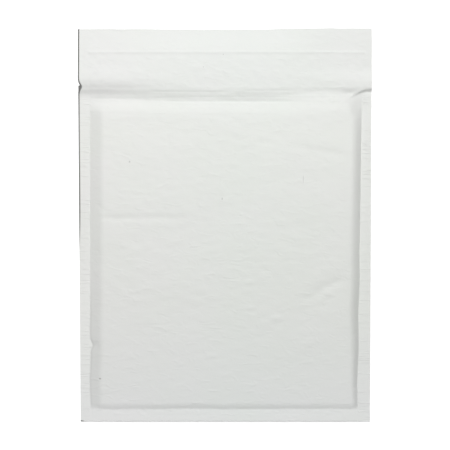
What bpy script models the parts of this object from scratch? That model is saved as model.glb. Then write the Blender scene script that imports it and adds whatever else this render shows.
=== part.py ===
"""Padded envelope: a folded paper cover lined with bubble film, lying on its back with the flap open.

Units are metres. X runs across the envelope, Y from the bottom fold towards the flap's end, and Z is
up from the surface that the back panel lies on. The origin is under the middle of the whole length.
"""

import math

import bmesh
import bpy

MM = 0.001

# Sheet sizes
BODY_WIDTH = 240 * MM
BODY_LENGTH = 275 * MM
FLAP_LENGTH = 46 * MM
OVERALL_LENGTH = BODY_LENGTH + FLAP_LENGTH

# The swollen body draws its edges in towards the bottom fold
LEFT_DRAW_IN = 0.8 * MM
RIGHT_DRAW_IN = 2.0 * MM

# Flat sealed margins
LEFT_SEAM = 8.5 * MM
RIGHT_SEAM = 9.2 * MM
BOTTOM_MARGIN = 10.5 * MM
RAMP = 9.0 * MM

# Thicknesses, from the outside in
PAPER = 0.12 * MM
CLEARANCE = 0.3 * MM
FILM_PAD = 3.0 * MM
POCKET_GAP = 5.0 * MM
CRUSHED_FILM = 0.2 * MM
OFFSET_TO_LINING = CLEARANCE + PAPER / 2

# Heights of the paper's middle surface above or below the seam plane
HALF_BODY = POCKET_GAP / 2 + FILM_PAD + OFFSET_TO_LINING
HALF_SEAM = CRUSHED_FILM / 2 + OFFSET_TO_LINING
SEAM_PLANE = HALF_BODY + PAPER / 2
HALF_VALLEY = 3.4 * MM
HALF_FLAP = 4.3 * MM
HALF_FLAP_END = 3.5 * MM
MOUTH_LIFT = 0.8 * MM

# Stations along the length, from the bottom fold
VALLEY_START = 252 * MM
VALLEY_LOW = 262 * MM
VALLEY_END = 269 * MM
FLAP_LEVEL = 283 * MM
SEAM_END = 276 * MM
MOUTH_LIFT_START = 260 * MM

# Lining
LINING_EDGE_INSET = 0.8 * MM
LINING_MOUTH = 267 * MM
POCKET_SIDE_INSET = 3.0 * MM
POCKET_EDGE_HALF = 0.25 * MM
POCKET_CUT_PAST_MOUTH = 6.0 * MM

# Closure strips under the end of the flap
LINER_START = 301.5 * MM
LINER_END = 320.5 * MM
LINER_LEFT = -112.0 * MM
LINER_RIGHT = 115.0 * MM
LINER_THICKNESS = 0.1 * MM
GLUE_START = 304.0 * MM
GLUE_END = 318.0 * MM
GLUE_LEFT = -110.0 * MM
GLUE_RIGHT = 112.0 * MM
GLUE_THICKNESS = 0.15 * MM

# Mesh density
RAMP_STEPS = 5
ACROSS_STEPS = 6
ALONG_STEPS = 6
VALLEY_STEPS = 3
FLAP_STEPS = 4
FOLD_STEPS = 6
STRIP_STEPS = 6


def clamp(value):
    return min(max(value, 0.0), 1.0)


def ease(value):
    """Smooth rise from 0 to 1."""
    t = clamp(value)
    return t * t * (3 - 2 * t)


def swell(value):
    """Steep start at a seam, level finish on the body."""
    return math.sin(clamp(value) * math.pi / 2)


def blend(low, high, share):
    return low + (high - low) * share


def left_edge(y):
    return -BODY_WIDTH / 2 + LEFT_DRAW_IN * clamp(1 - y / BODY_LENGTH)


def right_edge(y):
    return BODY_WIDTH / 2 - RIGHT_DRAW_IN * clamp(1 - y / BODY_LENGTH)


def seam_distance(x, y):
    """Distance from the nearer side seam's inner line, negative in the seam."""
    return min(x - left_edge(y) - LEFT_SEAM, right_edge(y) - RIGHT_SEAM - x)


def bottom_swell(y):
    return swell((y - BOTTOM_MARGIN) / RAMP)


def front_centre(y):
    """Half height of the front sheet along the middle, from bottom fold to flap end."""
    if y <= VALLEY_START:
        return blend(HALF_SEAM, HALF_BODY, bottom_swell(y))
    if y <= VALLEY_END:
        return blend(HALF_BODY, HALF_VALLEY, ease((y - VALLEY_START) / (VALLEY_LOW - VALLEY_START)))
    if y <= LINER_START:
        return blend(HALF_VALLEY, HALF_FLAP, ease((y - VALLEY_END) / (FLAP_LEVEL - VALLEY_END)))
    return blend(HALF_FLAP, HALF_FLAP_END, (y - LINER_START) / (OVERALL_LENGTH - LINER_START))


def front_edge(y):
    """Half height of the front sheet at its side edges: sealed down, then free on the flap."""
    return blend(HALF_SEAM, front_centre(y), ease((y - VALLEY_END) / (SEAM_END - VALLEY_END)))


def front_height(x, y):
    side = swell(seam_distance(x, y) / RAMP)
    return SEAM_PLANE + blend(front_edge(y), front_centre(y), side)


def back_height(x, y):
    lift = MOUTH_LIFT * ease((y - MOUTH_LIFT_START) / (BODY_LENGTH - MOUTH_LIFT_START))
    centre = blend(HALF_SEAM, HALF_BODY - lift, bottom_swell(y))
    side = swell(seam_distance(x, y) / RAMP)
    return SEAM_PLANE - blend(HALF_SEAM, centre, side)


def pocket_half(x, y):
    """Half height of the pocket, which closes in front of the seams and the bottom margin."""
    side = swell((seam_distance(x, y) - POCKET_SIDE_INSET) / RAMP)
    bottom = swell((y - BOTTOM_MARGIN - POCKET_SIDE_INSET) / RAMP)
    return blend(POCKET_EDGE_HALF, POCKET_GAP / 2, side * bottom)


def steps(start, end, count):
    """Evenly spaced stations from start to end, without the last."""
    return [blend(start, end, i / count) for i in range(count)]


def columns(y, edge_inset):
    """X stations of one row: edge, seam, ramp, middle, ramp, seam, edge."""
    seam_left = left_edge(y) + LEFT_SEAM
    seam_right = right_edge(y) - RIGHT_SEAM
    return (
        [left_edge(y) + edge_inset]
        + steps(seam_left, seam_left + RAMP, RAMP_STEPS)
        + steps(seam_left + RAMP, seam_right - RAMP, ACROSS_STEPS)
        + steps(seam_right - RAMP, seam_right, RAMP_STEPS)
        + [seam_right, right_edge(y) - edge_inset]
    )


def pocket_columns(y):
    left = left_edge(y) + LEFT_SEAM + POCKET_SIDE_INSET
    right = right_edge(y) - RIGHT_SEAM - POCKET_SIDE_INSET
    return (
        steps(left, left + RAMP, RAMP_STEPS)
        + steps(left + RAMP, right - RAMP, ACROSS_STEPS)
        + steps(right - RAMP, right, RAMP_STEPS)
        + [right]
    )


def body_rows(start, mouth):
    """Y stations from just above the bottom fold up to the mouth."""
    return (
        [start]
        + steps(BOTTOM_MARGIN, BOTTOM_MARGIN + RAMP, RAMP_STEPS)
        + steps(BOTTOM_MARGIN + RAMP, VALLEY_START, ALONG_STEPS)
        + steps(VALLEY_START, VALLEY_LOW, VALLEY_STEPS)
        + [VALLEY_LOW, mouth]
    )


def row_frame(x, y, z):
    """Move the origin from the bottom fold to the middle of the whole length."""
    return (x, y - OVERALL_LENGTH / 2, z)


def add_object(name, bm, collection):
    mesh = bpy.data.meshes.new(name)
    bmesh.ops.recalc_face_normals(bm, faces=bm.faces)
    bm.to_mesh(mesh)
    bm.free()
    mesh.shade_smooth()
    mesh.set_sharp_from_angle(angle=math.radians(40))
    part = bpy.data.objects.new(name, mesh)
    collection.objects.link(part)
    return part


def grid_faces(bm, rows):
    """Join rows of vertices into quads."""
    for lower, upper in zip(rows, rows[1:]):
        for i in range(len(lower) - 1):
            bm.faces.new((lower[i], lower[i + 1], upper[i + 1], upper[i]))


def sheet_object(name, point_rows, thickness, collection):
    """An open sheet through rows of points, given its thickness about its middle surface."""
    bm = bmesh.new()
    rows = [[bm.verts.new(row_frame(*point)) for point in row] for row in point_rows]
    grid_faces(bm, rows)
    part = add_object(name, bm, collection)
    solidify = part.modifiers.new("thickness", "SOLIDIFY")
    solidify.thickness = thickness
    solidify.offset = 0
    solidify.use_even_offset = True
    return part


def pillow_object(name, y_stations, x_stations, top, bottom, collection):
    """A closed pad between a top and a bottom surface on the same stations."""
    bm = bmesh.new()
    surfaces = [
        [[bm.verts.new(row_frame(x, y, height(x, y))) for x in x_stations(y)] for y in y_stations]
        for height in (top, bottom)
    ]
    for rows in surfaces:
        grid_faces(bm, rows)
    borders = [
        rows[0] + [row[-1] for row in rows[1:]] + rows[-1][-2::-1] + [row[0] for row in rows[-2:0:-1]]
        for rows in surfaces
    ]
    count = len(borders[0])
    for i in range(count):
        j = (i + 1) % count
        bm.faces.new((borders[0][i], borders[0][j], borders[1][j], borders[1][i]))
    return add_object(name, bm, collection)


def add_material(part, colour, roughness, alpha=1.0):
    material = bpy.data.materials.new(part.name)
    material.use_nodes = True
    shader = material.node_tree.nodes["Principled BSDF"]
    shader.inputs["Base Color"].default_value = (*colour, 1.0)
    shader.inputs["Roughness"].default_value = roughness
    shader.inputs["Metallic"].default_value = 0.0
    shader.inputs["Alpha"].default_value = alpha
    part.data.materials.append(material)


def make_paper_cover(collection):
    """One sheet: flap, front panel, bottom fold and back panel up to the mouth."""
    fold_centre = HALF_SEAM + PAPER / 2
    front_rows = (
        body_rows(fold_centre, VALLEY_END)
        + steps(VALLEY_END, SEAM_END, FLAP_STEPS)[1:]
        + [SEAM_END, FLAP_LEVEL, LINER_START, OVERALL_LENGTH]
    )
    back_rows = body_rows(fold_centre, VALLEY_END) + [BODY_LENGTH]

    sheet = [[(x, y, front_height(x, y)) for x in columns(y, 0)] for y in reversed(front_rows)]
    for i in range(1, FOLD_STEPS):
        angle = math.pi * i / FOLD_STEPS
        y = fold_centre - HALF_SEAM * math.sin(angle)
        z = SEAM_PLANE + HALF_SEAM * math.cos(angle)
        sheet.append([(x, y, z) for x in columns(fold_centre, 0)])
    sheet += [[(x, y, back_height(x, y)) for x in columns(y, 0)] for y in back_rows]

    cover = sheet_object("paper_cover", sheet, PAPER, collection)
    add_material(cover, (0.80, 0.81, 0.79), 0.75)


def make_bubble_lining(collection, cutters):
    """A pouch of bubble film with crushed margins, hollowed by its pocket and open at the mouth."""
    bottom = HALF_SEAM + PAPER / 2 + LINING_EDGE_INSET
    lining = pillow_object(
        "bubble_lining",
        body_rows(bottom, LINING_MOUTH),
        lambda y: columns(y, LINING_EDGE_INSET),
        lambda x, y: front_height(x, y) - OFFSET_TO_LINING,
        lambda x, y: back_height(x, y) + OFFSET_TO_LINING,
        collection,
    )
    pocket_start = BOTTOM_MARGIN + POCKET_SIDE_INSET
    pocket_rows = (
        steps(pocket_start, pocket_start + RAMP, RAMP_STEPS)
        + steps(pocket_start + RAMP, LINING_MOUTH + POCKET_CUT_PAST_MOUTH, ALONG_STEPS)
        + [LINING_MOUTH + POCKET_CUT_PAST_MOUTH]
    )
    pocket = pillow_object(
        "pocket_cutter",
        pocket_rows,
        pocket_columns,
        lambda x, y: SEAM_PLANE + pocket_half(x, y),
        lambda x, y: SEAM_PLANE - pocket_half(x, y),
        cutters,
    )
    pocket.hide_render = True
    pocket.display_type = "WIRE"
    cut = lining.modifiers.new("pocket", "BOOLEAN")
    cut.operation = "DIFFERENCE"
    cut.object = pocket
    cut.solver = "EXACT"
    add_material(lining, (0.86, 0.88, 0.89), 0.25, 0.6)


def make_strip(name, x_range, y_range, offset, thickness, collection):
    """A flat strip held at a constant distance under the flap's middle surface."""
    sheet = [
        [
            (blend(*x_range, i / STRIP_STEPS), y, SEAM_PLANE + front_centre(y) - offset)
            for i in range(STRIP_STEPS + 1)
        ]
        for y in y_range
    ]
    return sheet_object(name, sheet, thickness, collection)


def main():
    for part in list(bpy.data.objects):
        bpy.data.objects.remove(part, do_unlink=True)
    parts = bpy.data.collections.new("padded_envelope")
    cutters = bpy.data.collections.new("cutters")
    bpy.context.scene.collection.children.link(parts)
    bpy.context.scene.collection.children.link(cutters)

    make_paper_cover(parts)
    make_bubble_lining(parts, cutters)

    glue_offset = PAPER / 2 + CLEARANCE + GLUE_THICKNESS / 2
    glue = make_strip("adhesive_strip", (GLUE_LEFT, GLUE_RIGHT), (GLUE_START, GLUE_END),
                      glue_offset, GLUE_THICKNESS, parts)
    add_material(glue, (0.85, 0.84, 0.78), 0.2)

    liner_offset = glue_offset + GLUE_THICKNESS / 2 + CLEARANCE + LINER_THICKNESS / 2
    liner = make_strip("release_liner", (LINER_LEFT, LINER_RIGHT), (LINER_START, LINER_END),
                       liner_offset, LINER_THICKNESS, parts)
    add_material(liner, (0.88, 0.88, 0.86), 0.4)


main()
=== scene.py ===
import math

import bmesh
import bpy
import numpy as np
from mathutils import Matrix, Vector


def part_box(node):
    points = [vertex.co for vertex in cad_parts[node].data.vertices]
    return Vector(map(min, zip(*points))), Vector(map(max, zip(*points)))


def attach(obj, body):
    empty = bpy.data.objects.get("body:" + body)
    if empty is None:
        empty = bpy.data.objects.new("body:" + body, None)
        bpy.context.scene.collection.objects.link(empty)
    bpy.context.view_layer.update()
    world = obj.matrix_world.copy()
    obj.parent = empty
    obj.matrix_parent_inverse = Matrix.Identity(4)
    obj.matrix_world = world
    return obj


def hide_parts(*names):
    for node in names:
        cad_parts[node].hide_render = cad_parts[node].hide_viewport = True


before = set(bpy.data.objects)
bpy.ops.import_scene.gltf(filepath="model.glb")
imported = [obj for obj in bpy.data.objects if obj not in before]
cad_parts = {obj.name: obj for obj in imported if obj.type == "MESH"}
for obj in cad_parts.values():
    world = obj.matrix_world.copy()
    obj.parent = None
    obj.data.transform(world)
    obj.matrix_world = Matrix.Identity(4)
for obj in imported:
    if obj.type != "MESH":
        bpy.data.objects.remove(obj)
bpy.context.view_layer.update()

mm = 0.001
coverLow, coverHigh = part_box("paper_cover")
coverLength = (coverHigh.y - coverLow.y) / mm
yShift = coverLow.y / mm  # from millimetres above the bottom fold to the frame's y
flapLength = 46.0
paperThickness = 0.12
bubblePitch = 12.1

# Settings for the folded paper, in millimetres from the bottom fold and from the middle line
paper = {
    "width": (coverHigh.x - coverLow.x) / mm,
    "bodyLength": coverLength - flapLength,
    "thickness": paperThickness,
    "leftDrawIn": 2.0,
    "rightDrawIn": 1.3,
    "leftSeamLine": -110.3,
    "leftPinch": 2.2,
    "leftPinchPlace": 62.7,
    "leftPinchReach": 5.0,
    "rightSeamLine": 108.3,
    "rightSeamLean": 3.9,
    "seamWander": 0.35,
    "bottomMargin": 10.5,
    "leftRamp": 10.4,
    "rightRamp": 8.8,
    "mouthStart": 246.0,
    "mouthRamp": 10.8,
    "lowRampShare": 0.60,
    "bottomRamp": 5.0,
    "crownReach": 60.0,
    "crownShare": 0.10,
    "bottomReach": 145.0,
    "bottomShare": 0.80,
    "backRamp": 9.0,
    "halfSeam": 0.46,
    "halfBody": (coverHigh.z - coverLow.z) / mm / 2 - paperThickness / 2,
    "seamPlane": (coverHigh.z + coverLow.z) / mm / 2,
    "backLiftStart": 260.0,
    "mouthLift": 0.8,
    "middleStrip": 25.0,
    "leftBlend": 75.0,
    "rightBlend": 60.0,
    "flapCrown": 2.4,
    "flapCrownReach": 120.0,
    "topDip": 0.8,
    "topRise": 0.6,
    "notchPlace": 274.0,
    "notchDepth": 1.7,
    "notchReach": 3.0,
    "seed": 7,
}

# Settings for the mouth, where the seams let go of the flap
mouth = {
    "leftRise": (263.0, 9.5),  # start, then length
    "leftSlowRise": (268.0, 22.0),
    "curlPlace": 269.8,
    "curlBend": 0.022,
    "curlLength": 2.7,
    "curlDroop": 0.25,
    "droopReach": 9.0,
    "cornerPlace": 101.0,
    "cornerReach": 5.5,
    "cornerFall": (258.0, 10.0),
    "cornerReturn": (273.0, 5.0),
    "cornerDepth": 1.1,
    "flapStart": (268.0, 8.0),
    "linerStart": (300.0, 3.0),
}

# Heights and widths of the fine relief, in millimetres
fineRelief = {
    "wrinkle": 0.10,
    "broadWrinkle": 0.22,
    "bubblePrint": 0.035,
    "fineCrinkle": 0.10,
    "coarseCrinkle": 0.12,
    "overLiner": 0.35,  # share of the flap's crinkle left where the stiff liner lies under it
    "linerLine": 0.30,
    "linerLineWidth": 0.95,
    "foldLineWidth": 0.75,
    "foldLineFade": 14.0,
}

# Half height of the front sheet: place along the length, height above the seams' plane
centreProfile = [
    (0.0, 5.86), (180.0, 5.86), (215.0, 5.65), (248.0, 5.30), (252.0, 5.10), (261.6, 1.85),
    (262.6, 1.75), (271.4, 4.10), (273.0, 4.25), (290.0, 4.90), (301.0, 4.90), (321.0, 2.4),
]
leftProfile = [
    (0.0, 5.86), (180.0, 5.86), (215.0, 5.70), (249.0, 5.20), (253.0, 4.90), (262.0, 1.50), (264.0, 1.25),
    (266.5, 1.85), (272.0, 3.80), (276.0, 4.75), (280.0, 5.30), (287.0, 5.70), (301.0, 5.60), (321.0, 5.0),
]
rightProfile = [
    (0.0, 5.86), (180.0, 5.86), (215.0, 5.70), (250.0, 5.25), (254.5, 4.95), (261.0, 3.20), (268.3, 2.30),
    (269.6, 2.30), (274.0, 3.10), (284.0, 4.0), (301.0, 4.70), (321.0, 5.3),
]

# Handling creases: middle x, y, half length, half width, angle in degrees, depth (negative stands proud)
creases = [
    (-68.0, 166.3, 37.0, 2.4, 0.5, 0.50),
    (-92.0, 167.0, 14.0, 1.7, 0.0, 0.25),
    (-101.0, 174.5, 5.0, 1.6, -50.0, 0.35),
    (80.0, 221.0, 22.0, 2.4, -8.0, 0.42),
    (84.0, 217.0, 20.0, 3.4, -2.0, 0.30),
    (33.2, 227.9, 7.0, 1.3, -4.0, 0.26),
    (17.7, 222.1, 5.0, 1.3, 18.0, 0.18),
    (-6.9, 249.1, 9.0, 1.2, -2.0, 0.16),
    (-40.4, 242.6, 5.0, 1.1, -6.0, 0.18),
    (-55.1, 245.9, 5.0, 1.1, -24.0, 0.15),
    (-46.6, 125.6, 3.5, 1.4, -50.0, 0.20),
    (-12.6, 130.5, 4.0, 1.4, 68.0, 0.20),
    (30.0, 124.0, 5.0, 1.3, 12.0, 0.18),
    (85.0, 111.5, 13.0, 3.4, 25.0, 0.80),
    (72.0, 102.5, 9.0, 2.6, 8.0, 0.40),
    (82.0, 97.0, 6.0, 2.6, 52.0, 0.40),
    (41.9, 84.4, 4.0, 1.3, 0.0, -0.62),
    (20.6, 93.4, 3.2, 1.3, 0.0, -0.45),
    (20.4, 113.8, 3.2, 1.3, 0.0, -0.45),
    (-52.0, 56.0, 4.0, 1.2, -25.0, 0.16),
    (8.0, 20.0, 5.0, 1.2, 30.0, 0.14),
    (58.0, 38.0, 5.0, 1.2, 8.0, 0.14),
    (-76.0, 96.0, 5.0, 1.3, -30.0, 0.18),
    (-18.0, 170.0, 5.0, 1.3, 60.0, 0.16),
    (50.0, 186.0, 6.0, 1.3, -35.0, 0.16),
]

# Small marks on and beside the seams, listed in the same way
nicks = [
    (105.8, 71.7, 2.6, 0.8, 0.0, 0.30),
    (102.3, 54.8, 2.4, 0.7, 0.0, 0.28),
    (102.3, 51.5, 2.4, 0.7, 0.0, 0.28),
    (106.8, 28.3, 3.2, 0.8, 6.0, 0.30),
    (108.5, 14.0, 6.0, 0.9, 112.0, 0.16),
    (-109.1, 8.0, 6.0, 0.8, 90.0, 0.14),
    (-30.0, 5.4, 30.0, 0.7, 0.0, 0.05),
    (62.0, 6.2, 26.0, 0.7, 0.0, 0.05),
    (-109.2, 62.0, 2.2, 1.0, 0.0, -0.25),
]

# Lines along the mouth: start x, end x, place along the length, lean, depth (negative stands proud)
foldCreases = [
    (-52.0, 66.0, 261.6, 0.000, 0.30),
    (-66.0, 8.0, 269.6, -0.004, 0.20),
    (-64.0, 18.0, 266.4, 0.002, -0.13),
    (-40.0, 60.0, 264.2, -0.002, -0.12),
    (-78.0, -30.0, 262.6, -0.010, 0.16),
    (10.0, 62.0, 270.2, 0.010, 0.20),
    (24.0, 96.0, 266.0, 0.004, -0.10),
]


def ease(t):
    t = np.clip(t, 0, 1)
    return t * t * (3 - 2 * t)


def swell(t):
    return np.sin(np.clip(t, 0, 1) * math.pi / 2)


def mix(low, high, share):
    return low + (high - low) * share


def riseFrom(place, span):
    # from 0 at the span's start to 1 at its end
    start, length = span
    return ease((place - start) / length)


def softNoise(x, y, table):
    # smooth random heights between -1 and 1 on a unit grid
    size = table.shape[0]
    cellX, cellY = np.floor(x).astype(int), np.floor(y).astype(int)
    stepX, stepY = ease(x - cellX), ease(y - cellY)
    low = mix(table[cellX % size, cellY % size], table[(cellX + 1) % size, cellY % size], stepX)
    high = mix(table[cellX % size, (cellY + 1) % size],
               table[(cellX + 1) % size, (cellY + 1) % size], stepX)
    return mix(low, high, stepY)


randomTables = [np.random.RandomState(paper["seed"] + i).uniform(-1, 1, (128, 128)) for i in range(6)]


def leftEdge(y):
    return -paper["width"] / 2 + paper["leftDrawIn"] * np.clip(1 - y / paper["bodyLength"], 0, 1)


def rightEdge(y):
    return paper["width"] / 2 - paper["rightDrawIn"] * np.clip(1 - y / paper["bodyLength"], 0, 1)


def leftPinch(y):
    distance = np.abs(y - paper["leftPinchPlace"])
    return paper["leftPinch"] * np.clip(1 - distance / paper["leftPinchReach"], 0, 1)


def leftSeamLine(y):
    # the seam's inner line has one pinched pucker and wanders a little below it
    wander = paper["seamWander"] * np.sin(y / 7.0) * (1 - ease((y - 50) / 60))
    return paper["leftSeamLine"] + leftPinch(y) + wander


def rightSeamLine(y):
    lean = paper["rightSeamLean"] * np.clip(y / paper["bodyLength"], 0, 1)
    wander = paper["seamWander"] * np.sin(y / 9.0 + 1.0) * (1 - ease((y - 110) / 60))
    return paper["rightSeamLine"] + lean + wander


def seamDistances(x, y):
    # how far inside the left and right seams' inner lines, negative in the seam
    return x - leftSeamLine(y), rightSeamLine(y) - x


def rampWidths(y):
    # how far in the front panel takes to reach its full height, less towards the bottom
    low = mix(paper["lowRampShare"], 1.0, ease((y - 5) / 90))
    left = paper["leftRamp"] * mix(0.75, 1.0, low) - leftPinch(y)
    right = mix(paper["rightRamp"] * low, paper["mouthRamp"], ease((y - paper["mouthStart"]) / 16))
    return left, right


def facet(t):
    # a straight slope with a rounded top
    t = np.clip(t, 0, 1.2)
    return np.where(t < 0.8, t, t - np.square(t - 0.8) / 0.8)


def crowned(nearSeam, distance):
    crown = swell(distance / paper["crownReach"])
    return mix(nearSeam, crown, paper["crownShare"])


def sideSwell(x, y):
    left, right = seamDistances(x, y)
    leftRamp, rightRamp = rampWidths(y)
    leftShape = crowned(facet(left / leftRamp), left)
    flatter = ease((y - paper["mouthStart"]) / 10)
    rightSlope = mix(swell(right / rightRamp), facet(right / rightRamp), flatter)
    rightShape = crowned(rightSlope, right)
    return np.where(x < 0, leftShape, rightShape)


def bottomSwell(x, y):
    distance = y - paper["bottomMargin"] - 0.4 * softNoise(x / 13, x * 0, randomTables[5])
    steep = swell(distance / paper["bottomRamp"])
    slow = swell(distance / paper["bottomReach"])
    return mix(steep, slow, paper["bottomShare"])


def alongProfile(y, stations):
    heights = np.full_like(y, stations[-1][1])
    for (startY, start), (endY, end) in reversed(list(zip(stations, stations[1:]))):
        share = np.clip((y - startY) / (endY - startY), 0, 1)
        heights = np.where(y <= endY, mix(start, end, mix(share, ease(share), 0.6)), heights)
    return heights


def centreHeight(x, y):
    heights = alongProfile(y, centreProfile)
    strip = paper["middleStrip"]
    heights = mix(heights, alongProfile(y, leftProfile), ease((-strip - x) / paper["leftBlend"]))
    heights = mix(heights, alongProfile(y, rightProfile), ease((x - strip) / paper["rightBlend"]))
    fallen = paper["flapCrown"] * np.power(np.abs(x) / paper["flapCrownReach"], 2.2) * ease((y - 276) / 14)
    return mix(paper["halfSeam"], heights - fallen, bottomSwell(x, y))


def creaseHeight(x, y, marks):
    total = np.zeros_like(x)
    for midX, midY, halfLength, halfWidth, angle, depth in marks:
        turn = math.radians(angle)
        along = ((x - midX) * math.cos(turn) + (y - midY) * math.sin(turn)) / halfLength
        across = (-(x - midX) * math.sin(turn) + (y - midY) * math.cos(turn)) / halfWidth
        total -= depth * np.exp(-across * across) * ease(1.4 - np.abs(along))
    return total


def wrinkleHeight(x, y):
    # sheared both ways, so that the creases cross instead of lying level
    falling = softNoise((x + y) / 7.5, (y - 0.30 * x) / 3.6, randomTables[0]) * fineRelief["wrinkle"]
    rising = softNoise((x - y) / 7.5 + 9, (y + 0.26 * x) / 3.6 + 3, randomTables[1]) * fineRelief["wrinkle"]
    broad = softNoise(x / 34, y / 22, randomTables[2]) * fineRelief["broadWrinkle"]
    return falling + rising + broad


def bubblePrint(x, y):
    # the honeycomb of bubbles presses faintly through the paper
    waveNumber = 2 * math.pi * 2 / (math.sqrt(3) * bubblePitch)
    waves = np.cos(waveNumber * x)
    for side in (-1, 1):
        waves = waves + np.cos(waveNumber * (side * x / 2 + y * math.sqrt(3) / 2))
    return waves / 3 * fineRelief["bubblePrint"]


def linerImprint(x, y):
    # the release liner's front edge shows through the flap as a low raised line
    low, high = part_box("release_liner")
    inside = ease((x - low.x / mm) / 2.0) * ease((high.x / mm - x) / 1.0)
    start = low.y / mm - yShift
    line = np.exp(-np.square((y - start - 0.1) / fineRelief["linerLineWidth"]))
    return fineRelief["linerLine"] * line * inside


def foldLines(x, y):
    # fine parallel lines pressed into the paper in front of the mouth
    fade = fineRelief["foldLineFade"]
    total = np.zeros_like(x)
    for startX, endX, place, lean, depth in foldCreases:
        window = ease((x - startX) / fade) * ease((endX - x) / fade)
        across = (y - place - lean * (x - startX)) / fineRelief["foldLineWidth"]
        total -= depth * window * np.exp(-across * across)
    return total


def seamRelease(x, y):
    # 0 where the sheet is held in a side seam, 1 where the flap is free
    leftRise = mix(riseFrom(y, mouth["leftRise"]), riseFrom(y, mouth["leftSlowRise"]), 0.4)
    curlLine = mouth["curlPlace"] - mouth["curlBend"] * np.square(rightEdge(y) - x)
    rightRise = ease((y - curlLine) / mouth["curlLength"])
    return np.where(x < 0, leftRise, rightRise)


def cornerDip(x, y):
    # the mouth's right corner dips beside the curl
    across = np.exp(-np.square((x - mouth["cornerPlace"]) / mouth["cornerReach"]))
    returnStart, returnLength = mouth["cornerReturn"]
    along = riseFrom(y, mouth["cornerFall"]) * ease((returnStart - y) / returnLength)
    return mouth["cornerDepth"] * across * along


def flapCrinkle(x, y):
    fine = softNoise((x + 0.6 * y) / 4.0, y / 3.4, randomTables[3]) * fineRelief["fineCrinkle"]
    coarse = softNoise((x - y) / 5.0, (y + x) / 6.5, randomTables[1]) * fineRelief["coarseCrinkle"]
    return (fine + coarse) * mix(1.0, fineRelief["overLiner"], riseFrom(y, mouth["linerStart"]))


def frontHeight(x, y):
    right = seamDistances(x, y)[1]
    centre = centreHeight(x, y)
    release = seamRelease(x, y)
    droop = mouth["curlDroop"] * ease(-right / mouth["droopReach"]) * (1 - release)
    edge = mix(paper["halfSeam"], centre, release) - droop
    body = mix(edge, centre, sideSwell(x, y))
    padded = sideSwell(x, y) * bottomSwell(x, y)
    flap = riseFrom(y, mouth["flapStart"])
    relief = wrinkleHeight(x, y) + bubblePrint(x, y) + creaseHeight(x, y, creases)
    body = body + padded * (1 - flap) * relief + creaseHeight(x, y, nicks)
    body = body + flap * flapCrinkle(x, y)
    body = body + linerImprint(x, y) + foldLines(x, y) - cornerDip(x, y)
    return paper["seamPlane"] + body


def backHeight(x, y):
    liftStart = paper["backLiftStart"]
    lift = paper["mouthLift"] * ease((y - liftStart) / (paper["bodyLength"] - liftStart))
    left, right = seamDistances(x, y)
    sides = swell(np.minimum(left, right) / paper["backRamp"])
    padded = sides * swell((y - paper["bottomMargin"]) / paper["backRamp"])
    body = mix(paper["halfSeam"], paper["halfBody"] - lift, padded)
    broad = softNoise(x / 14, y / 6, randomTables[4])
    fine = softNoise(x / 6, y / 9, randomTables[3])
    creased = np.maximum(0.06 + 0.09 * (broad + 0.6 * fine), 0) * padded
    return paper["seamPlane"] - np.maximum(body - creased, paper["halfSeam"])


def steps(start, end, count):
    return list(np.linspace(start, end, count, endpoint=False))


def rowX(y):
    # stations across a row, closest together at the seams' inner lines
    left, right = float(leftSeamLine(y)), float(rightSeamLine(y))
    leftRamp, rightRamp = rampWidths(y)
    leftTop, rightTop = left + leftRamp * 1.2, right - rightRamp
    crowding = 1.4
    seam = np.array(steps(0, 1, 12))
    ramp = np.array(steps(0, 1, 15))
    middle = np.array(steps(0, 1, 92))
    return np.concatenate([
        mix(left, float(leftEdge(y)), (1 - seam) ** crowding),
        mix(left, leftTop, ramp ** crowding),
        mix(leftTop, rightTop, middle),
        mix(right, rightTop, (1 - ramp) ** crowding),
        mix(right, float(rightEdge(y)), np.append(seam, 1.0) ** crowding),
    ])


def notchShift(y):
    return paper["notchDepth"] * np.exp(-np.square((y - paper["notchPlace"]) / paper["notchReach"]))


def outlineWear(x, y):
    # the trimmed edges wander a little, and the left edge is nicked where the flap folds
    x = x + notchShift(y) * ease((-110 - x) / 10)
    top = ease((y - 300) / 21)
    lean = paper["topRise"] * x / paper["width"] - paper["topDip"] * np.exp(-np.square(x / 45))
    return x, y + top * (lean + 0.15 * softNoise(x / 12, y * 0, randomTables[5]))


def gridMesh(name, rows):
    # each row is an array of points, in millimetres from the bottom fold
    points = np.array(rows)
    rowCount, columnCount = points.shape[:2]
    points = points.reshape(-1, 3) + (0, yShift, 0)
    index = np.arange(rowCount * columnCount).reshape(rowCount, columnCount)
    faces = np.stack([index[:-1, :-1], index[1:, :-1], index[1:, 1:], index[:-1, 1:]], axis=-1)
    mesh = bpy.data.meshes.new(name)
    mesh.from_pydata(points * mm, [], faces.reshape(-1, 4).tolist())
    mesh.shade_smooth()
    piece = bpy.data.objects.new(name, mesh)
    bpy.context.collection.objects.link(piece)
    return piece


def bakeModifiers(piece):
    # keep the evaluated mesh and drop the modifiers
    depsgraph = bpy.context.evaluated_depsgraph_get()
    mesh = bpy.data.meshes.new_from_object(piece.evaluated_get(depsgraph))
    piece.modifiers.clear()
    old = piece.data
    piece.data = mesh
    bpy.data.meshes.remove(old)
    mesh.name = piece.name


def thicken(piece, thickness, side=0):
    solid = piece.modifiers.new("thickness", "SOLIDIFY")
    solid.thickness = thickness * mm
    solid.offset = side
    solid.use_even_offset = True
    bakeModifiers(piece)
    piece.data.set_sharp_from_angle(angle=math.radians(55))


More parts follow.
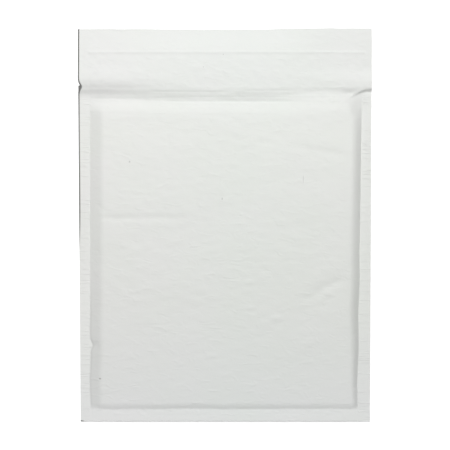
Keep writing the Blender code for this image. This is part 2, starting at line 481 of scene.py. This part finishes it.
# Settings for the painted shadow along the left edge, the painted shade on the seams' slopes and the
# mouth's corners, the ribs across the seams and the whiter lower seams, in millimetres; each span is its
# start, then its length
shadeAndSeamMarks = {
    "edgeShadowReach": 4.0,
    "edgeShadowShares": (0.60, 0.97),
    "edgeShadowSpan": (122, 50),
    "notchShadow": 2.0,
    "notchShadowReach": 3.5,
    "cornerShadow": (3.6, 1.4),  # reach across and along
    "leftSlopeShade": 0.62,
    "upperSlopeShade": 0.22,
    "slopeShadeFadeSpan": (30, 130),
    "slopeShadeEndSpan": (250, 10),
    "leftCornerShade": (0.42, -95, 38, 272.5, 7),  # strength, then middle and reach across and along
    "rightCornerShade": (0.40, 107, 7, 261.5, 8),
    "pinchShade": 0.75,
    "lowCreaseShade": 0.45,
    "edgeRibs": 1.8,
    "ribStartSpan": (186, 8),
    "ribEnd": (240, 8),  # end, then the length that it fades over
    "rightPressed": 0.3,
    "pressedEndSpan": (90, 70),
    "softEdge": 0.8,
}


# a soft patch of painted shade
def shadedPatch(x, y, patch):
    strength, midX, reachX, midY, reachY = patch
    return strength * np.exp(-np.square((x - midX) / reachX) - np.square((y - midY) / reachY))


def paintedEdgeShadow(x, y):
    # painted shadow along the left trimmed edge, most at the notch and in the bottom corner
    low, high = shadeAndSeamMarks["edgeShadowShares"]
    fade = mix(low, high, riseFrom(y, shadeAndSeamMarks["edgeShadowSpan"])) * mix(1.0, 1.03, ease((y - 240) / 30))
    atNotch = np.exp(-np.square((y - paper["notchPlace"] + 1) / shadeAndSeamMarks["notchShadowReach"]))
    reach = shadeAndSeamMarks["edgeShadowReach"] + shadeAndSeamMarks["notchShadow"] * atNotch
    edgeShade = np.clip(1 - (x - leftEdge(y) - notchShift(y)) / reach, 0, 1) * fade
    cornerX, cornerY = shadeAndSeamMarks["cornerShadow"]
    corner = np.clip(1.0 - np.hypot((x - leftEdge(y)) / cornerX, y / cornerY) * 0.35, 0, 1)
    return np.maximum(edgeShade, corner)


def seamCrimp(x, y):
    # ribs across the seams, deepest along the upper right trimmed edge
    left, right = seamDistances(x, y)
    seam = ease(-np.minimum(left, right) / shadeAndSeamMarks["softEdge"]) * (1 - ease((y - 268) / 4))
    ribEnd, ribFade = shadeAndSeamMarks["ribEnd"]
    upperRight = ease((x - 112) / 3) * riseFrom(y, shadeAndSeamMarks["ribStartSpan"]) * ease((ribEnd - y) / ribFade)
    return seam * (1 + shadeAndSeamMarks["edgeRibs"] * upperRight)


def paintedSlopeShade(x, y):
    # painted shade on the slopes beside the seams, along the lower left seam's inner line and at its pinch,
    # and painted shade at the mouth's corners
    left, right = seamDistances(x, y)
    leftRamp, rightRamp = rampWidths(y)
    leftTop = ease((left - 0.55 * leftRamp) / (0.65 * leftRamp))
    leftSlopeShade = ease(left / 0.6) * (1 - leftTop) * shadeAndSeamMarks["leftSlopeShade"]
    rightTop = ease((right - 0.2 * rightRamp) / (0.9 * rightRamp))
    rightSlopeShade = ease(right / 0.6) * (1 - rightTop)
    along = mix(1.0, shadeAndSeamMarks["upperSlopeShade"], riseFrom(y, shadeAndSeamMarks["slopeShadeFadeSpan"]))
    along = along * ease((y - paper["bottomMargin"]) / 3) * (1 - riseFrom(y, shadeAndSeamMarks["slopeShadeEndSpan"]))
    slopeShade = np.maximum(leftSlopeShade, rightSlopeShade) * along
    cornerShades = shadedPatch(x, y, shadeAndSeamMarks["leftCornerShade"]) + shadedPatch(x, y, shadeAndSeamMarks["rightCornerShade"])
    pinch = shadedPatch(left, y, (shadeAndSeamMarks["pinchShade"], 0.7, 0.9, paper["leftPinchPlace"], 6.0))
    line = shadeAndSeamMarks["lowCreaseShade"] * np.exp(-np.square((left - 0.8) / 0.8))
    line = line * ease((y - 12) / 4) * (1 - ease((y - 80) / 40))
    return np.clip(slopeShade + cornerShades + np.maximum(pinch, line), 0, 1)


def pressedSeam(x, y):
    # the lower seams and the bottom margin are made whiter, fading out up the body
    left, right = seamDistances(x, y)
    soft = shadeAndSeamMarks["softEdge"]
    pressed = np.maximum(ease(-left / soft), ease((paper["bottomMargin"] - y) / soft))
    pressed = np.maximum(pressed, shadeAndSeamMarks["rightPressed"] * ease(-right / soft))
    return pressed * (1 - riseFrom(y, shadeAndSeamMarks["pressedEndSpan"]))


def storeMasks(piece):
    # stored under the functions' own names, which the paper's material reads
    count = len(piece.data.vertices)
    points = np.zeros(count * 3, np.float32)
    piece.data.vertices.foreach_get("co", points)
    points = points.reshape(-1, 3) / mm
    x, y = points[:, 0], points[:, 1] - yShift
    for mask in (paintedEdgeShadow, seamCrimp, paintedSlopeShade, pressedSeam):
        stored = piece.data.attributes.new(mask.__name__, "FLOAT", "POINT")
        stored.data.foreach_set("value", mask(x, y).astype(np.float32))


def makePaperCover():
    # rows run down the front sheet, round the bottom fold and up the back sheet
    fold = paper["halfSeam"] + paper["thickness"] / 2
    bodyLength = paper["bodyLength"]
    frontY = steps(fold, 18, 24) + steps(18, 250, 142) + steps(250, 258, 8) + steps(258, 275, 32)
    frontY += steps(275, 300, 20) + steps(300, 305, 8) + steps(305, coverLength, 12) + [coverLength]
    backY = steps(fold, 22, 14) + steps(22, 255, 38) + steps(255, bodyLength, 10) + [bodyLength]
    rows = []
    for y in reversed(frontY):
        x = rowX(y)
        z = frontHeight(x, np.full_like(x, y))
        wornX, wornY = outlineWear(x, np.full_like(x, y))
        rows.append(np.stack([wornX, wornY, z], axis=-1))
    for turn in np.linspace(0, math.pi, 7)[1:-1]:
        x = rowX(fold)
        y = fold - paper["halfSeam"] * math.sin(turn)
        z = paper["seamPlane"] + paper["halfSeam"] * math.cos(turn)
        rows.append(np.stack([x, np.full_like(x, y), np.full_like(x, z)], axis=-1))
    for y in backY:
        x = rowX(y)
        rows.append(np.stack([x, np.full_like(x, y), backHeight(x, np.full_like(x, y))], axis=-1))
    piece = gridMesh("paperCover", rows)
    thicken(piece, paper["thickness"])
    storeMasks(piece)
    return piece


# Settings for the bubble film, in millimetres
film = {
    "pitch": bubblePitch,
    "bubbleRadius": 4.9,
    "bubbleHeight": 2.9,
    "crushed": 0.09,
    "gap": 0.30,
    "edgeInset": 0.8,
    "mouth": 267.0,
    "mouthCrush": 0.75,
    "squashReach": 14.0,
    "paperReach": 3.2,
    "layerGap": 0.03,
    "thinnest": 0.04,
    "segments": 12,
    "rings": (0.0, 0.52, 0.87, 1.0),
    "darkColour": (0.80, 0.84, 0.86),
    "lightColour": (0.92, 0.94, 0.95),
    "roughness": (0.12, 0.34),
    "alpha": 0.55,
}


def bubbleCells():
    # flat honeycomb: y runs along the film from the back mouth (negative) to the front mouth
    columnStep = film["pitch"] * math.sqrt(3) / 2
    halfWidth = paper["width"] / 2 - film["edgeInset"]
    columnCount = int(halfWidth / columnStep) + 1
    rowCount = int(film["mouth"] / film["pitch"]) + 1
    for column in range(-columnCount, columnCount + 1):
        shift = film["pitch"] / 2 if column % 2 else 0
        for row in range(-rowCount, rowCount + 1):
            yield column * columnStep, row * film["pitch"] + shift


def cellTemplate():
    # one bubble and the flat land round it, to the edge of its hexagon
    points, heights = [(0.0, 0.0)], [1.0]
    segments = film["segments"]
    for ring in film["rings"][1:]:
        for i in range(segments):
            angle = 2 * math.pi * i / segments
            points.append((film["bubbleRadius"] * ring * math.cos(angle),
                           film["bubbleRadius"] * ring * math.sin(angle)))
            heights.append((1 - ring ** 2.6) ** 0.6)
    for i in range(segments):
        angle = 2 * math.pi * i / segments
        apothem = film["pitch"] / 2
        reach = apothem / math.cos(math.radians(30)) if i % 2 == 0 else apothem
        points.append((reach * math.cos(angle), reach * math.sin(angle)))
        heights.append(0.0)
    faces = [(0, 1 + i, 1 + (i + 1) % segments) for i in range(segments)]
    for ring in range(len(film["rings"]) - 1):
        start = 1 + ring * segments
        for i in range(segments):
            j = (i + 1) % segments
            faces.append((start + i, start + segments + i, start + segments + j, start + j))
    return points, heights, faces


def makeBubbleLining():
    points, heights, faces = cellTemplate()
    bm = bmesh.new()
    domeLayer = bm.verts.layers.float.new("dome")
    for cellX, cellY in bubbleCells():
        verts = []
        for (x, y), height in zip(points, heights):
            vert = bm.verts.new((cellX + x, cellY + y, 0))
            vert[domeLayer] = height
            verts.append(vert)
        for face in faces:
            bm.faces.new([verts[i] for i in face])
    bmesh.ops.remove_doubles(bm, verts=bm.verts, dist=0.02)
    halfWidth = paper["width"] / 2 - film["edgeInset"]
    trims = [
        ((paper["leftDrawIn"] - halfWidth, 0, 0), (-1, 0, 0)),
        ((halfWidth - paper["rightDrawIn"], 0, 0), (1, 0, 0)),
        ((0, film["mouth"], 0), (0, 1, 0)),
        ((0, -film["mouth"], 0), (0, -1, 0)),
    ]
    for place, outward in trims:
        bmesh.ops.bisect_plane(bm, geom=bm.verts[:] + bm.edges[:] + bm.faces[:], dist=0.001,
                               plane_co=place, plane_no=outward, clear_outer=True)
    # crease along the bottom fold
    bmesh.ops.bisect_plane(bm, geom=bm.verts[:] + bm.edges[:] + bm.faces[:], dist=0.001,
                           plane_co=(0, 0, 0), plane_no=(0, 1, 0))
    bmesh.ops.triangulate(bm, faces=[f for f in bm.faces if len(f.verts) > 4])
    dome = np.array([vert[domeLayer] for vert in bm.verts])
    flat = np.array([vert.co[:] for vert in bm.verts])
    bm.faces.ensure_lookup_table()
    bm.verts.index_update()
    filmFaces = [[vert.index for vert in face.verts] for face in bm.faces]
    rim = [(edge.verts[0].index, edge.verts[1].index) for edge in bm.edges if edge.is_boundary]
    bm.free()

    x, along = flat[:, 0], flat[:, 1]
    onFront = along > 0
    y = np.abs(along) + paper["halfSeam"] + film["edgeInset"]
    # bubbles are squashed towards the seams, the bottom and the front mouth
    left, right = seamDistances(x, y)
    squash = film["squashReach"]
    roomy = np.clip(np.minimum(left, right) / squash, 0, 1)
    roomy = roomy * np.clip((y - paper["bottomMargin"]) / squash, 0, 1)
    mouthCrush = 1 - film["mouthCrush"] * ease((y - 250) / 14) * onFront
    thickness = film["crushed"] + film["bubbleHeight"] * dome * ease(roomy) * mouthCrush
    # the film stays under the lowest paper within its reach, and on its own side of the seams' plane
    spans = (-film["paperReach"], 0, film["paperReach"])
    reach = [(dx, dy) for dx in spans for dy in spans]
    frontOuter = np.min([frontHeight(x + dx, y + dy) for dx, dy in reach], axis=0)
    backOuter = np.max([backHeight(x + dx, y + dy) for dx, dy in reach], axis=0)
    frontOuter = frontOuter - film["gap"] - paper["thickness"] / 2
    backOuter = backOuter + film["gap"] + paper["thickness"] / 2
    outer = np.where(onFront, frontOuter, backOuter)
    room = np.abs(outer - paper["seamPlane"]) - film["layerGap"]
    thickness = np.minimum(thickness, np.maximum(room, film["thinnest"]))
    inner = np.where(onFront, frontOuter - thickness, backOuter + thickness)
    onFold = np.abs(along) < 0.001
    outer = np.where(onFold, paper["seamPlane"], outer)
    inner = np.where(onFold, paper["seamPlane"], inner)
    outerY = np.where(onFold, y - 2 * film["crushed"], y)
    innerY = np.where(onFold, y - film["crushed"], y)

    outerPoints = np.stack([x, outerY + yShift, outer], axis=-1)
    innerPoints = np.stack([x, innerY + yShift, inner], axis=-1)
    count = len(x)
    allFaces = filmFaces + [[i + count for i in reversed(face)] for face in filmFaces]
    allFaces += [[a, b, b + count, a + count] for a, b in rim]
    mesh = bpy.data.meshes.new("bubbleLining")
    mesh.from_pydata((np.concatenate([outerPoints, innerPoints]) * mm).tolist(), [], allFaces)
    clean = bmesh.new()
    clean.from_mesh(mesh)
    bmesh.ops.recalc_face_normals(clean, faces=clean.faces)
    clean.to_mesh(mesh)
    clean.free()
    mesh.shade_smooth()
    piece = bpy.data.objects.new("bubbleLining", mesh)
    bpy.context.collection.objects.link(piece)
    return piece


# Settings for the closure strips, in millimetres
closure = {
    "glueLift": 0.40,
    "glueThickness": 0.15,
    "linerLift": 0.82,
    "linerThickness": 0.10,
    "linerWave": 0.06,
    "glueCorner": 1.0,
    "linerCorner": 0.5,
    "glueColour": (0.84, 0.83, 0.76),
    "linerColour": (0.88, 0.88, 0.85),
}


def stripMesh(name, node, lift, thickness, cornerRadius, wave):
    # a strip that follows the underside of the flap
    low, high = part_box(node)
    lowX, highX = low.x / mm, high.x / mm
    lowY, highY = low.y / mm - yShift, high.y / mm - yShift
    rows = []
    for share in np.linspace(0, 1, 15):
        y = mix(lowY, highY, share)
        intoCorner = max(0, cornerRadius - min(y - lowY, highY - y))
        inset = cornerRadius - math.sqrt(max(cornerRadius ** 2 - intoCorner ** 2, 0))
        x = np.linspace(lowX + inset, highX - inset, 90)
        ys = np.full_like(x, y)
        z = frontHeight(x, ys) - lift - wave * (1 + softNoise(x / 16, ys / 8, randomTables[4])) / 2
        rows.append(np.stack([x, ys, z], axis=-1))
    piece = gridMesh(name, rows)
    thicken(piece, thickness)
    return piece


def newMaterial(name):
    material = bpy.data.materials.new(name)
    material.use_nodes = True
    nodes = material.node_tree.nodes
    return material, nodes, material.node_tree.links, nodes["Principled BSDF"]


def addNode(nodes, kind, settings=None, **inputs):
    node = nodes.new(kind)
    for key, value in (settings or {}).items():
        setattr(node, key, value)
    for key, value in inputs.items():
        node.inputs[key.replace("_", " ")].default_value = value
    return node


def mixColour(nodes, links, base, over, share=1.0, blend="MIX"):
    # over is a colour or a socket, and share is a number or a socket
    mixer = addNode(nodes, "ShaderNodeMix", {"data_type": "RGBA", "blend_type": blend})
    links.new(base, mixer.inputs[6])
    if isinstance(over, tuple):
        mixer.inputs[7].default_value = (*over, 1)
    else:
        links.new(over, mixer.inputs[7])
    if isinstance(share, float):
        mixer.inputs[0].default_value = share
    else:
        links.new(share, mixer.inputs[0])
    return mixer.outputs[2]


def stretched(nodes, links, place, scale):
    mapping = addNode(nodes, "ShaderNodeMapping", Scale=scale)
    links.new(place, mapping.inputs["Vector"])
    return mapping.outputs["Vector"]


def addBump(nodes, links, height, strength, distance, below=None):
    bump = addNode(nodes, "ShaderNodeBump", Strength=strength, Distance=distance)
    links.new(height, bump.inputs["Height"])
    if below:
        links.new(below, bump.inputs["Normal"])
    return bump.outputs["Normal"]


def multiplied(nodes, links, first, second):
    product = addNode(nodes, "ShaderNodeMath", {"operation": "MULTIPLY"})
    links.new(first, product.inputs[0])
    links.new(second, product.inputs[1])
    return product.outputs["Value"]


def storedMask(nodes, name):
    return addNode(nodes, "ShaderNodeAttribute", {"attribute_name": name}).outputs["Fac"]


# Settings for the white paper
paperFinish = {
    "leftTint": (0.812, 0.814, 0.812),
    "middleTint": (0.796, 0.815, 0.804),
    "rightTint": (0.804, 0.814, 0.806),
    # painted shade with a cream tint for the middle of the body
    "lowerBodyPaintedShadeAndTint": (0.984, 0.984, 0.962),
    "upperBodyShade": (1.0, 1.0, 0.974),
    "flapShade": (1.0, 1.0, 0.986),
    "cloudShade": (0.990, 1.0, 0.988),
    "fleckColour": (0.42, 0.42, 0.40),
    # painted shadow colour for the dark line along the left edge
    "edgeShadowColour": (0.17, 0.17, 0.165),
    "roughness": 0.62,
    "fibreBump": 0.12,
    "crinkleBump": 0.54,
    "ribBump": 0.42,
    # painted shade on the slopes beside the seams, in the seam's crease and at the mouth's corners
    "slopeShadeGrey": 0.84,
    "pressedWhite": 1.036,
}

# Specks in the pulp, in metres: place across and along, half width, half length, then strength
specks = [
    (-0.1020, -0.1252, 0.0012, 0.0008, 1.0),
    (-0.0776, 0.0518, 0.0006, 0.0007, 0.55),
    (-0.0022, 0.0216, 0.0004, 0.0010, 0.55),
    (0.0638, 0.0375, 0.0002, 0.0030, 0.55),
]


def tintRamp(nodes, links, source, low, high, stops):
    # colours at shares of the way from low to high
    share = addNode(nodes, "ShaderNodeMapRange", From_Min=low, From_Max=high)
    links.new(source, share.inputs["Value"])
    ramp = addNode(nodes, "ShaderNodeValToRGB")
    elements = ramp.color_ramp.elements
    while len(elements) < len(stops):
        elements.new(0.5)
    for element, (position, colour) in zip(elements, stops):
        element.position = position
        element.color = (*colour, 1)
    links.new(share.outputs["Result"], ramp.inputs["Fac"])
    return ramp.outputs["Color"]


def paperTint(nodes, links, place):
    # creamier to the left and up the body, with painted shade darkening the middle of the body, and cloudy
    # all over
    white = (1.0, 1.0, 1.0)
    axes = addNode(nodes, "ShaderNodeSeparateXYZ")
    links.new(place, axes.inputs["Vector"])
    across = tintRamp(nodes, links, axes.outputs["X"], coverLow.x, coverHigh.x, [
        (0.10, paperFinish["leftTint"]),
        (0.55, paperFinish["middleTint"]),
        (0.95, paperFinish["rightTint"]),
    ])
    along = tintRamp(nodes, links, axes.outputs["Y"], coverLow.y, coverHigh.y, [
        (0.02, white),
        # painted shade with a cream tint: the middle of the body is darkened a little, standing in for the
        # light falling off along it
        (0.30, paperFinish["lowerBodyPaintedShadeAndTint"]),
        (0.56, paperFinish["lowerBodyPaintedShadeAndTint"]),
        (0.74, paperFinish["upperBodyShade"]),
        (0.88, paperFinish["flapShade"]),
    ])
    cloud = addNode(nodes, "ShaderNodeTexNoise", Scale=24.0, Detail=3.0, Roughness=0.55)
    links.new(place, cloud.inputs["Vector"])
    cloudy = tintRamp(nodes, links, cloud.outputs["Fac"], 0, 1, [
        (0.35, white),
        (0.65, paperFinish["cloudShade"]),
    ])
    shaded = mixColour(nodes, links, across, along, 1.0, "MULTIPLY")
    return mixColour(nodes, links, shaded, cloudy, 1.0, "MULTIPLY")


def pulpFlecks(nodes, links, place, tone):
    # sparse dark flecks all over, then the larger specks one by one
    cells = addNode(nodes, "ShaderNodeTexVoronoi", Scale=62.0)
    links.new(place, cells.inputs["Vector"])
    near = addNode(nodes, "ShaderNodeMapRange", From_Min=0.012, From_Max=0.024, To_Min=1.0, To_Max=0.0)
    links.new(cells.outputs["Distance"], near.inputs["Value"])
    split = addNode(nodes, "ShaderNodeSeparateColor")
    links.new(cells.outputs["Color"], split.inputs["Color"])
    rare = addNode(nodes, "ShaderNodeMath", {"operation": "GREATER_THAN"})
    rare.inputs[1].default_value = 0.86
    links.new(split.outputs["Red"], rare.inputs[0])
    fleck = multiplied(nodes, links, near.outputs["Result"], rare.outputs["Value"])
    tone = mixColour(nodes, links, tone, paperFinish["fleckColour"], fleck)
    depthScale = 200.0
    for x, y, halfWidth, halfLength, strength in specks:
        centre = addNode(nodes, "ShaderNodeMapping", Scale=(1 / halfWidth, 1 / halfLength, depthScale),
                         Location=(-x / halfWidth, -y / halfLength, -depthScale * coverHigh.z))
        links.new(place, centre.inputs["Vector"])
        reach = addNode(nodes, "ShaderNodeVectorMath", {"operation": "LENGTH"})
        links.new(centre.outputs["Vector"], reach.inputs[0])
        core = addNode(nodes, "ShaderNodeMapRange", From_Min=0.7, From_Max=1.3, To_Min=strength, To_Max=0.0)
        links.new(reach.outputs["Value"], core.inputs["Value"])
        tone = mixColour(nodes, links, tone, paperFinish["fleckColour"], core.outputs["Result"])
    return tone


def paintedShadeAndSeamTone(nodes, links, tone):
    # painted shade on the slopes beside the seams, whiter pressed seams and a painted shadow line along the
    # left edge
    slopeShaded = mixColour(nodes, links, tone, (paperFinish["slopeShadeGrey"],) * 3,
                     storedMask(nodes, "paintedSlopeShade"), "MULTIPLY")
    whiter = mixColour(nodes, links, slopeShaded, (paperFinish["pressedWhite"],) * 3,
                       storedMask(nodes, "pressedSeam"), "MULTIPLY")
    # painted shadow: the dark line along the left edge, wider at the notch and in the bottom corner
    line = addNode(nodes, "ShaderNodeMapRange", From_Min=0.64, From_Max=0.80, To_Min=0.0, To_Max=1.0)
    links.new(storedMask(nodes, "paintedEdgeShadow"), line.inputs["Value"])
    return mixColour(nodes, links, whiter, paperFinish["edgeShadowColour"], line.outputs["Result"])


def paperRelief(nodes, links, place, fibre):
    # fine crinkles, then ribs across the seams, then fibres
    crinkle = addNode(nodes, "ShaderNodeTexNoise", {"noise_type": "RIDGED_MULTIFRACTAL"},
                      Scale=1.0, Detail=3.0, Roughness=0.55, Distortion=0.8)
    links.new(stretched(nodes, links, place, (110.0, 210.0, 150.0)), crinkle.inputs["Vector"])
    normal = addBump(nodes, links, crinkle.outputs["Fac"], paperFinish["crinkleBump"], 0.0004)
    ribNoise = addNode(nodes, "ShaderNodeTexNoise", Scale=1.0, Detail=1.0)
    links.new(stretched(nodes, links, place, (60.0, 820.0, 60.0)), ribNoise.inputs["Vector"])
    ribs = addNode(nodes, "ShaderNodeMapRange", From_Min=0.57, From_Max=0.70)
    links.new(ribNoise.outputs["Fac"], ribs.inputs["Value"])
    crimped = multiplied(nodes, links, ribs.outputs["Result"], storedMask(nodes, "seamCrimp"))
    normal = addBump(nodes, links, crimped, paperFinish["ribBump"], 0.0004, normal)
    return addBump(nodes, links, fibre, paperFinish["fibreBump"], 0.0002, normal)


def paperMaterial():
    material, nodes, links, shader = newMaterial("whiteKraft")
    place = addNode(nodes, "ShaderNodeTexCoord").outputs["Object"]

    # pulp fibres, long in one direction
    fibre = addNode(nodes, "ShaderNodeTexNoise", Scale=1.0, Detail=5.0, Roughness=0.65)
    links.new(stretched(nodes, links, place, (700.0, 2600.0, 1200.0)), fibre.inputs["Vector"])

    tone = paperTint(nodes, links, place)
    tone = mixColour(nodes, links, tone, fibre.outputs["Color"], 0.05, "MULTIPLY")
    tone = pulpFlecks(nodes, links, place, tone)
    links.new(paintedShadeAndSeamTone(nodes, links, tone), shader.inputs["Base Color"])

    # calendered surface: patchy roughness
    gloss = addNode(nodes, "ShaderNodeMapRange", To_Min=paperFinish["roughness"] - 0.08,
                    To_Max=paperFinish["roughness"] + 0.10)
    links.new(fibre.outputs["Fac"], gloss.inputs["Value"])
    links.new(gloss.outputs["Result"], shader.inputs["Roughness"])
    links.new(paperRelief(nodes, links, place, fibre.outputs["Fac"]), shader.inputs["Normal"])
    shader.inputs["Specular IOR Level"].default_value = 0.3
    return material


def hazyFinish(nodes, links, shader, noise, darkColour, lightColour, roughness, bumpStrength, bumpDistance):
    # one noise gives the colour, the roughness and the relief
    tone = addNode(nodes, "ShaderNodeValToRGB")
    tone.color_ramp.elements[0].color = (*darkColour, 1)
    tone.color_ramp.elements[1].color = (*lightColour, 1)
    links.new(noise, tone.inputs["Fac"])
    links.new(tone.outputs["Color"], shader.inputs["Base Color"])
    rough = addNode(nodes, "ShaderNodeMapRange", To_Min=roughness[0], To_Max=roughness[1])
    links.new(noise, rough.inputs["Value"])
    links.new(rough.outputs["Result"], shader.inputs["Roughness"])
    links.new(addBump(nodes, links, noise, bumpStrength, bumpDistance), shader.inputs["Normal"])


def filmMaterial():
    material, nodes, links, shader = newMaterial("bubbleFilm")
    place = addNode(nodes, "ShaderNodeTexCoord").outputs["Object"]
    haze = addNode(nodes, "ShaderNodeTexNoise", Scale=180.0, Detail=3.0)
    links.new(place, haze.inputs["Vector"])
    hazyFinish(nodes, links, shader, haze.outputs["Fac"], film["darkColour"], film["lightColour"],
               film["roughness"], 0.2, 0.0003)
    shader.inputs["Alpha"].default_value = film["alpha"]
    shader.inputs["IOR"].default_value = 1.5
    return material


def stripMaterial(name, colour, roughness, grain):
    material, nodes, links, shader = newMaterial(name)
    place = addNode(nodes, "ShaderNodeTexCoord").outputs["Object"]
    noise = addNode(nodes, "ShaderNodeTexNoise", Scale=grain, Detail=4.0, Roughness=0.6)
    links.new(place, noise.inputs["Vector"])
    darker = [channel * 0.95 for channel in colour]
    hazyFinish(nodes, links, shader, noise.outputs["Fac"], darker, colour,
               (roughness - 0.06, roughness + 0.08), 0.12, 0.0002)
    return material


def finishPiece(piece, material, node):
    piece.data.materials.clear()
    piece.data.materials.append(material)
    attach(piece, "root")
    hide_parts(node)


# Settings for the studio, in metres
studio = {
    "floorSize": 6.0,
    "floorDrop": 0.0002,
    "floorGlow": 0.6,
    "worldGrey": 0.14,
    "keyPlace": (-0.12, 0.46, 2.2),
    "keySize": (0.8, 0.8),
    "keyPower": 36.3,
    "topPlace": (0.0, 0.50, 0.42),
    "topSize": (0.7, 0.2),
    "topPower": 1.05,
    "lens": 100.0,
    "sensor": 36.0,
    "frameWidth": 0.3675,
    "aim": (0.0001, 0.0003, 0.008),
}


def addSoftbox(name, place, size, power):
    light = bpy.data.lights.new(name, "AREA")
    light.shape = "RECTANGLE"
    light.size, light.size_y = size
    light.energy = power
    softbox = bpy.data.objects.new(name, light)
    softbox.location = place
    softbox.rotation_euler = (-Vector(place)).to_track_quat("-Z", "Y").to_euler()
    bpy.context.collection.objects.link(softbox)


def makeStudio():
    bpy.ops.mesh.primitive_plane_add(size=studio["floorSize"], location=(0, 0, -studio["floorDrop"]))
    floor = bpy.context.object
    floor.name = "floor"
    material, nodes, links, shader = newMaterial("paleFloor")
    shader.inputs["Base Color"].default_value = (0.8, 0.8, 0.8, 1)
    shader.inputs["Roughness"].default_value = 0.9
    shader.inputs["Emission Color"].default_value = (1, 1, 1, 1)
    # the floor shows white without lighting the envelope's sides from below
    path = addNode(nodes, "ShaderNodeLightPath")
    glow = addNode(nodes, "ShaderNodeMath", {"operation": "MULTIPLY"})
    glow.inputs[1].default_value = studio["floorGlow"]
    links.new(path.outputs["Is Camera Ray"], glow.inputs[0])
    links.new(glow.outputs["Value"], shader.inputs["Emission Strength"])
    floor.data.materials.append(material)

    world = bpy.data.worlds.new("softWhite")
    world.use_nodes = True
    background = world.node_tree.nodes["Background"]
    background.inputs["Color"].default_value = (1, 1, 1, 1)
    # the backdrop shows white, and lights the envelope much less
    worldNodes, worldLinks = world.node_tree.nodes, world.node_tree.links
    seen = addNode(worldNodes, "ShaderNodeLightPath")
    backdrop = addNode(worldNodes, "ShaderNodeMapRange", To_Min=studio["worldGrey"], To_Max=1.0)
    worldLinks.new(seen.outputs["Is Camera Ray"], backdrop.inputs["Value"])
    worldLinks.new(backdrop.outputs["Result"], background.inputs["Strength"])
    bpy.context.scene.world = world

    addSoftbox("keyLight", studio["keyPlace"], studio["keySize"], studio["keyPower"])
    addSoftbox("topLight", studio["topPlace"], studio["topSize"], studio["topPower"])

    cameraData = bpy.data.cameras.new("camera")
    cameraData.lens = studio["lens"]
    cameraData.sensor_width = studio["sensor"]
    camera = bpy.data.objects.new("camera", cameraData)
    distance = studio["frameWidth"] * studio["lens"] / studio["sensor"]
    x, y, z = studio["aim"]
    camera.location = (x, y, z + distance)
    bpy.context.collection.objects.link(camera)
    bpy.context.scene.camera = camera
    bpy.context.scene.view_settings.view_transform = "Standard"


makeStudio()
print("studio ready")

cover = makePaperCover()
finishPiece(cover, paperMaterial(), "paper_cover")
print("paper cover made")

lining = makeBubbleLining()
finishPiece(lining, filmMaterial(), "bubble_lining")
print("bubble lining made")

glue = stripMesh("adhesiveStrip", "adhesive_strip", closure["glueLift"], closure["glueThickness"],
                 closure["glueCorner"], 0.0)
clearGlue = stripMaterial("clearGlue", closure["glueColour"], 0.25, 350.0)
finishPiece(glue, clearGlue, "adhesive_strip")
liner = stripMesh("releaseLiner", "release_liner", closure["linerLift"], closure["linerThickness"],
                  closure["linerCorner"], closure["linerWave"])
linerPaper = stripMaterial("linerPaper", closure["linerColour"], 0.42, 900.0)
finishPiece(liner, linerPaper, "release_liner")
print("closure strips made")
